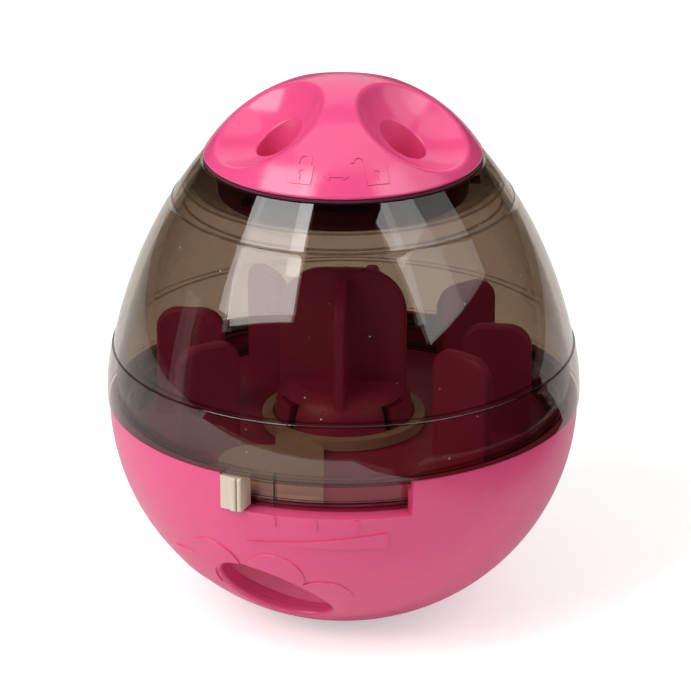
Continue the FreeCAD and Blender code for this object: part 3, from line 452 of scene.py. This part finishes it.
def grown(obj, tree, values):
    """Run the tree on the object, keep the result as its mesh and drop the modifier."""
    modifier = obj.modifiers.new("nodes", "NODES")
    modifier.node_group = tree
    for identifier, value in values.items():
        modifier[identifier] = value
    bpy.context.view_layer.update()
    evaluated = obj.evaluated_get(bpy.context.evaluated_depsgraph_get())
    mesh = bpy.data.meshes.new_from_object(evaluated)
    obj.modifiers.clear()
    obj.data = mesh
    finishes = [material for material in mesh.materials if material]
    mesh.materials.clear()
    for material in finishes:
        mesh.materials.append(material)
    mesh.polygons.foreach_set("material_index", [0] * len(mesh.polygons))
    return mesh


print("helpers ready")

# %% [markdown]
# The tree starts from a flat grid with one column for each step round the axis and one
# row for each point of the profile. A grid point looks up its profile point, and Set
# Position rolls the grid up. Azimuths are degrees from the front, to the right.

# %% Roll the grid up
tree, given, result, values = geometry_tree("turned_with_gaps", (
    ("Columns", "NodeSocketInt", 240),
    ("Mouth gaps", "NodeSocketInt", 3),
    ("Mouth gap half width", "NodeSocketFloat", 15.1),
    ("Window start", "NodeSocketFloat", -33.1),
    ("Window end", "NodeSocketFloat", 19.1),
    ("Stop azimuth", "NodeSocketFloat", -44.5),
    ("Material", "NodeSocketMaterial", smoky),
))
row = given["Geometry"]
points = add(tree, "GeometryNodeAttributeDomainSize", {"component": "MESH"}, Geometry=row)
columns = add(tree, MATH, {"operation": "ADD"}, i0=given["Columns"], i1=1.0)
rows = add(tree, MATH, {"operation": "ADD"}, i0=points, i1=1.0)
grid = add(tree, "GeometryNodeMeshGrid", {"Size X": 1.0, "Size Y": 1.0}, Vertices_X=columns,
           Vertices_Y=rows)
position = add(tree, "GeometryNodeInputPosition")
flat = add(tree, "ShaderNodeSeparateXYZ", i0=position).outputs
azimuth = add(tree, MATH, {"operation": "MULTIPLY"}, i0=flat["X"], i1=360.0)
from_edge = add(tree, MATH, {"operation": "ADD"}, i0=flat["Y"], i1=0.5)
along = add(tree, MATH, {"operation": "MULTIPLY"}, i0=from_edge, i1=points)
whole = add(tree, MATH, {"operation": "ROUND"}, i0=along)
index = add(tree, MATH, {"operation": "FLOORED_MODULO"}, i0=whole, i1=points)
print("grid nodes:", len(tree.nodes))

# %% [markdown]
# Inside a gap, the point of the profile moves to its second place. A wrapped azimuth
# repeats the mouth's gap all round, and the window's gap is there once.

# %% Look up the profile and apply the gaps
def sampled(value):
    """A vector of the profile at this grid point's row, split into X, Y and Z."""
    node = add(tree, "GeometryNodeSampleIndex", {"data_type": "FLOAT_VECTOR", "domain": "POINT"},
               Geometry=row, Index=index, Value=value)
    return add(tree, "ShaderNodeSeparateXYZ", i0=node).outputs


def chosen(axis):
    """The plain value of an axis, or the gap's value where the point moves."""
    step = add(tree, MATH, {"operation": "SUBTRACT"}, i0=there[axis], i1=here[axis])
    return add(tree, MATH, {"operation": "MULTIPLY_ADD"}, i0=step, i1=moves, i2=here[axis])


here = sampled(position)
there = sampled(add(tree, "GeometryNodeInputNamedAttribute",
                    {"data_type": "FLOAT_VECTOR", "Name": "gap_place"}))
share = add(tree, MATH, {"operation": "DIVIDE"}, i0=180.0, i1=given["Mouth gaps"])
less = add(tree, MATH, {"operation": "MULTIPLY"}, i0=share, i1=-1.0)
nearest = add(tree, MATH, {"operation": "WRAP"}, i0=azimuth, i1=share, i2=less)
off_centre = add(tree, MATH, {"operation": "ABSOLUTE"}, i0=nearest)
in_mouth = add(tree, MATH, {"operation": "LESS_THAN"}, i0=off_centre, i1=given["Mouth gap half width"])
after = add(tree, MATH, {"operation": "GREATER_THAN"}, i0=azimuth, i1=given["Window start"])
before = add(tree, MATH, {"operation": "LESS_THAN"}, i0=azimuth, i1=given["Window end"])
in_window = add(tree, MATH, {"operation": "MULTIPLY"}, i0=after, i1=before)
is_mouth = add(tree, MATH, {"operation": "COMPARE"}, i0=there["Y"], i1=float(MOUTH_MOVES), i2=0.1)
is_spigot = add(tree, MATH, {"operation": "COMPARE"}, i0=there["Y"], i1=float(SPIGOT_MOVES), i2=0.1)
over_window = add(tree, MATH, {"operation": "MULTIPLY"}, i0=is_spigot, i1=in_window)
moves = add(tree, MATH, {"operation": "MULTIPLY_ADD"}, i0=is_mouth, i1=in_mouth, i2=over_window)
radius = chosen("X")
height = chosen("Z")
angle = add(tree, MATH, {"operation": "RADIANS"}, i0=azimuth)
sine = add(tree, MATH, {"operation": "SINE"}, i0=angle)
cosine = add(tree, MATH, {"operation": "COSINE"}, i0=angle)
x = add(tree, MATH, {"operation": "MULTIPLY"}, i0=radius, i1=sine)
forward = add(tree, MATH, {"operation": "MULTIPLY"}, i0=radius, i1=cosine)
y = add(tree, MATH, {"operation": "MULTIPLY"}, i0=forward, i1=-1.0)
spot = add(tree, "ShaderNodeCombineXYZ", X=x, Y=y, Z=height)
turned = add(tree, "GeometryNodeSetPosition", Geometry=grid, Position=spot)
closed = add(tree, "GeometryNodeMergeByDistance", {"Distance": 0.00001}, Geometry=turned)
print("nodes so far:", len(tree.nodes))

# %% [markdown]
# Each lug of the cap turns until it meets a small stop. One block on each of three points
# makes them, a third of a turn apart. Edges that bend sharply are drawn sharp, and all
# else is shaded smooth.

# %% Stops, shading and material
STOP_SIZE = (1.2 * MM, 2.4 * MM, 1.6 * MM)
STOP_RADIUS = 32.5
STOP_DROP = 0.9
SHARP_FROM = math.radians(32.0)

stop_points = add(tree, "GeometryNodePoints", Count=given["Mouth gaps"])
number = add(tree, "GeometryNodeInputIndex")
apart = add(tree, MATH, {"operation": "MULTIPLY"}, i0=share, i1=2.0)
stop_azimuth = add(tree, MATH, {"operation": "MULTIPLY_ADD"}, i0=number, i1=apart,
                   i2=given["Stop azimuth"])
spin = add(tree, "ShaderNodeCombineXYZ", Z=add(tree, MATH, {"operation": "RADIANS"}, i0=stop_azimuth))
block = add(tree, "GeometryNodeMeshCube", {"Size": STOP_SIZE})
set_out = add(tree, "GeometryNodeTransform",
              {"Translation": (0.0, -STOP_RADIUS * MM, SEAM_Z + (CEILING - STOP_DROP) * MM)},
              Geometry=block)
stops = add(tree, "GeometryNodeInstanceOnPoints", Points=stop_points, Instance=set_out, Rotation=spin)
real = add(tree, "GeometryNodeRealizeInstances", Geometry=stops)
joined = tree.nodes.new("GeometryNodeJoinGeometry")
for piece in (real, closed):
    tree.links.new(piece.outputs[0], joined.inputs[0])
bend = tree.nodes.new("GeometryNodeInputMeshEdgeAngle").outputs["Unsigned Angle"]
sharp = add(tree, "FunctionNodeCompare", {"operation": "GREATER_THAN", 1: SHARP_FROM}, i0=bend)
smooth = add(tree, "GeometryNodeSetShadeSmooth", {"domain": "FACE"}, Geometry=joined)
edged = add(tree, "GeometryNodeSetShadeSmooth", {"domain": "EDGE", "Shade Smooth": False},
            Geometry=smooth, Selection=sharp)
coated = add(tree, "GeometryNodeSetMaterial", Geometry=edged, Material=given["Material"])
tree.links.new(coated.outputs[0], result["Geometry"])
print("dome tree:", len(tree.nodes), "nodes")

# %% [markdown]
# The profile becomes a row of mesh points, and the second place of each is stored on it
# as an attribute. Its Y holds the kind of gap, since a profile is flat and has none.

# %% Turn the dome
row_mesh = bpy.data.meshes.new("dome_profile")
row_mesh.from_pydata([(r * MM, 0.0, SEAM_Z + z * MM) for r, z, _, _, _ in profile],
                     [(i, i + 1) for i in range(len(profile) - 1)], [])
gap_place = row_mesh.attributes.new("gap_place", "FLOAT_VECTOR", "POINT")
for entry, (_, _, r, z, kind) in zip(gap_place.data, profile):
    entry.vector = (r * MM, float(kind), SEAM_Z + z * MM)
dome = bpy.data.objects.new("turned_dome", row_mesh)
bpy.context.scene.collection.objects.link(dome)
dome_mesh = grown(dome, tree, values)
checked = bmesh.new()
checked.from_mesh(dome_mesh)
open_edges = len([e for e in checked.edges if len(e.link_faces) != 2])
volume = checked.calc_volume(signed=True) * 1e6
checked.free()
print("dome:", len(dome_mesh.polygons), "faces,", open_edges, "open edges,", round(volume, 2), "cm3")
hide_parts("smoky_dome")
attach(dome, "dome")

# %% [markdown]
# ## Studio
# A sheet of white paper lies under the egg in an otherwise dark room. It ends 30 cm in
# front of the egg, and its front right corner is cut away. Its shape comes from its mirror
# image low on the dome: above the paper's horizon the dome mirrors the dark room and stays
# deep and clear. The camera sees the paper and the world as plain white, apart from the
# egg's own soft shadow. The paper's glow is weaker near the egg, where the lamps already
# make it white.

# %% Floor
PAPER = [(-1.1, -0.30), (0.02, -0.30), (0.15, 0.07), (0.54, 0.15), (0.88, 0.70), (0.80, 1.1), (-1.1, 1.1)]
GLOW_IN_MIRRORS = 0.12

floor_mesh = bpy.data.meshes.new("studio_floor")
floor_mesh.from_pydata([(x, y, 0.0) for x, y in PAPER], [], [list(range(len(PAPER)))])
floor = bpy.data.objects.new("studio_floor", floor_mesh)
bpy.context.scene.collection.objects.link(floor)

paper, tree, output = new_material("white_paper")
path = add(tree, "ShaderNodeLightPath").outputs
place = add(tree, "ShaderNodeTexCoord").outputs["Object"]
away = add(tree, "ShaderNodeVectorMath", {"operation": "LENGTH"}, i0=place).outputs["Value"]
further = add(tree, "ShaderNodeMapRange",
              {"From Min": 0.2, "From Max": 0.9, "To Min": 0.48, "To Max": 0.88}, Value=away)
looked_at = add(tree, MATH, {"operation": "MULTIPLY_ADD"}, i0=path["Is Glossy Ray"],
                i1=GLOW_IN_MIRRORS, i2=path["Is Camera Ray"])
seen = add(tree, MATH, {"operation": "MULTIPLY"}, i0=looked_at, i1=further)
matte = add(tree, "ShaderNodeBsdfDiffuse", {"Color": linear("#E9E9E7")})
glow = add(tree, "ShaderNodeEmission", {"Color": WHITE}, Strength=seen)
both = add(tree, "ShaderNodeAddShader", i0=matte, i1=glow)
tree.links.new(both.outputs[0], output.inputs[0])
floor_mesh.materials.append(paper)
print("paper corners:", len(PAPER))

# %% [markdown]
# The world is plain white to the camera and gives the egg a faint even fill. Mirrors see
# a dark room in it, with one pale wall high up behind the egg.

# %% World
FILL = 0.12
ROOM = 0.02
WALL_BEHIND = 0.85
TO_WALL = (0.0, 0.85, 0.53)

world = bpy.data.worlds.new("white_studio")
world.use_nodes = True
bpy.context.scene.world = world
tree = world.node_tree
tree.nodes.clear()
path = add(tree, "ShaderNodeLightPath").outputs
plain_white = add(tree, MATH, {"operation": "MAXIMUM"}, i0=path["Is Camera Ray"],
                  i1=path["Is Transmission Ray"])
way = add(tree, "ShaderNodeTexCoord").outputs["Generated"]
behind = add(tree, "ShaderNodeVectorMath", {"operation": "DOT_PRODUCT", 1: TO_WALL}, i0=way)
mirrored = add(tree, "ShaderNodeMapRange",
               {"interpolation_type": "SMOOTHSTEP", "From Min": 0.86, "From Max": 0.96,
                "To Min": ROOM, "To Max": WALL_BEHIND}, Value=behind.outputs["Value"])
more = add(tree, MATH, {"operation": "SUBTRACT"}, i0=mirrored, i1=FILL)
unseen = add(tree, MATH, {"operation": "MULTIPLY_ADD"}, i0=path["Is Glossy Ray"], i1=more, i2=FILL)
level = add(tree, MATH, {"operation": "MAXIMUM"}, i0=plain_white, i1=unseen)
sky = add(tree, "ShaderNodeBackground", {"Color": WHITE}, Strength=level)
world_output = tree.nodes.new("ShaderNodeOutputWorld")
tree.links.new(sky.outputs[0], world_output.inputs[0])
print("world nodes:", len(tree.nodes))

# %% [markdown]
# Softboxes stand at the front left and front right. Their places, sizes and tilt come from
# their mirror images on the dome in the photograph, and so does their brightness: a clear
# wall mirrors about a tenth of what stands before it. The left one is brighter along both
# of its upright edges, where its tubes are, and fades at its lower edge. The right one is
# brighter on the side near the camera. A wide panel overhead lights the cap. Two weak fills
# light the bowl's right side and the back, and show in no mirror image. Each lamp is
# given by its direction from the egg and its tilt in degrees, its size and its shift in its
# own plane in metres, and its radiance, where 1 is the white of the picture.

# %% Lamps
LAMP_DISTANCE = 0.9
LAMPS = {
    "softbox_left": (-50.2, 41.0, 17.0, 0.60, 0.585, -0.05, 0.0, 5.6),
    "softbox_left_fringe": (-50.2, 41.0, 17.0, 0.56, 0.03, -0.04, -0.308, 3.6),
    "softbox_left_far_edge": (-50.2, 41.0, -1.4, 0.10, 0.38, -0.308, -0.182, 3.4),
    "softbox_left_tube_near": (-31.5, 40.5, 6.0, 0.12, 0.37, -0.03, 0.105, 2.6),
    "softbox_left_tube_far": (-70.5, 32.5, 17.0, 0.05, 0.60, 0.0, 0.0, 1.0),
    "softbox_right_near_top": (67.3, 38.6, 3.0, 0.40, 0.30, -0.1825, 0.18, 3.1),
    "softbox_right_near_low": (67.3, 38.6, 3.0, 0.40, 0.36, -0.1825, -0.15, 2.1),
    "softbox_right_far_half": (67.3, 38.6, 3.0, 0.365, 0.66, 0.2, 0.0, 1.3),
    "softbox_right_tube": (42.5, 40.5, 3.0, 0.07, 0.62, 0.0, 0.0, 1.0),
    "strip_far_left": (-88.0, 4.0, 12.0, 0.16, 0.34, 0.0, 0.0, 0.4),
    "panel_above": (0.0, 84.0, 0.0, 0.9, 0.6, 0.0, 0.0, 1.15),
    "fill_right": (62.0, 4.0, 0.0, 0.7, 0.5, 0.0, 0.0, 0.6),
    "fill_behind": (172.0, 32.0, 0.0, 0.9, 0.6, 0.0, 0.0, 0.7),
}


def place_lamp(name, azimuth, elevation, tilt, width, height, across, up, radiance):
    """A rectangular lamp that faces the egg. A fill shows in no mirror image."""
    data = bpy.data.lights.new(name, "AREA")
    data.shape = "RECTANGLE"
    data.size = width
    data.size_y = height
    data.energy = radiance * width * height * math.pi
    az = math.radians(azimuth)
    el = math.radians(elevation)
    away = Vector((math.sin(az) * math.cos(el), -math.cos(az) * math.cos(el), math.sin(el)))
    tilted = Matrix.Rotation(math.radians(tilt), 4, "Z")
    facing = away.to_track_quat("Z", "Y").to_matrix().to_4x4() @ tilted
    shift = Matrix.Translation((across, up, 0.0))
    light = bpy.data.objects.new(name, data)
    light.matrix_world = Matrix.Translation(TARGET + away * LAMP_DISTANCE) @ facing @ shift
    light.visible_glossy = not name.startswith("fill")
    bpy.context.scene.collection.objects.link(light)


for name, settings in LAMPS.items():
    place_lamp(name, *settings)
print("lamps:", ", ".join(LAMPS))

# %% [markdown]
# The Standard view transform shows each colour as it is written.

# %% Finish
bpy.context.scene.view_settings.view_transform = "Standard"
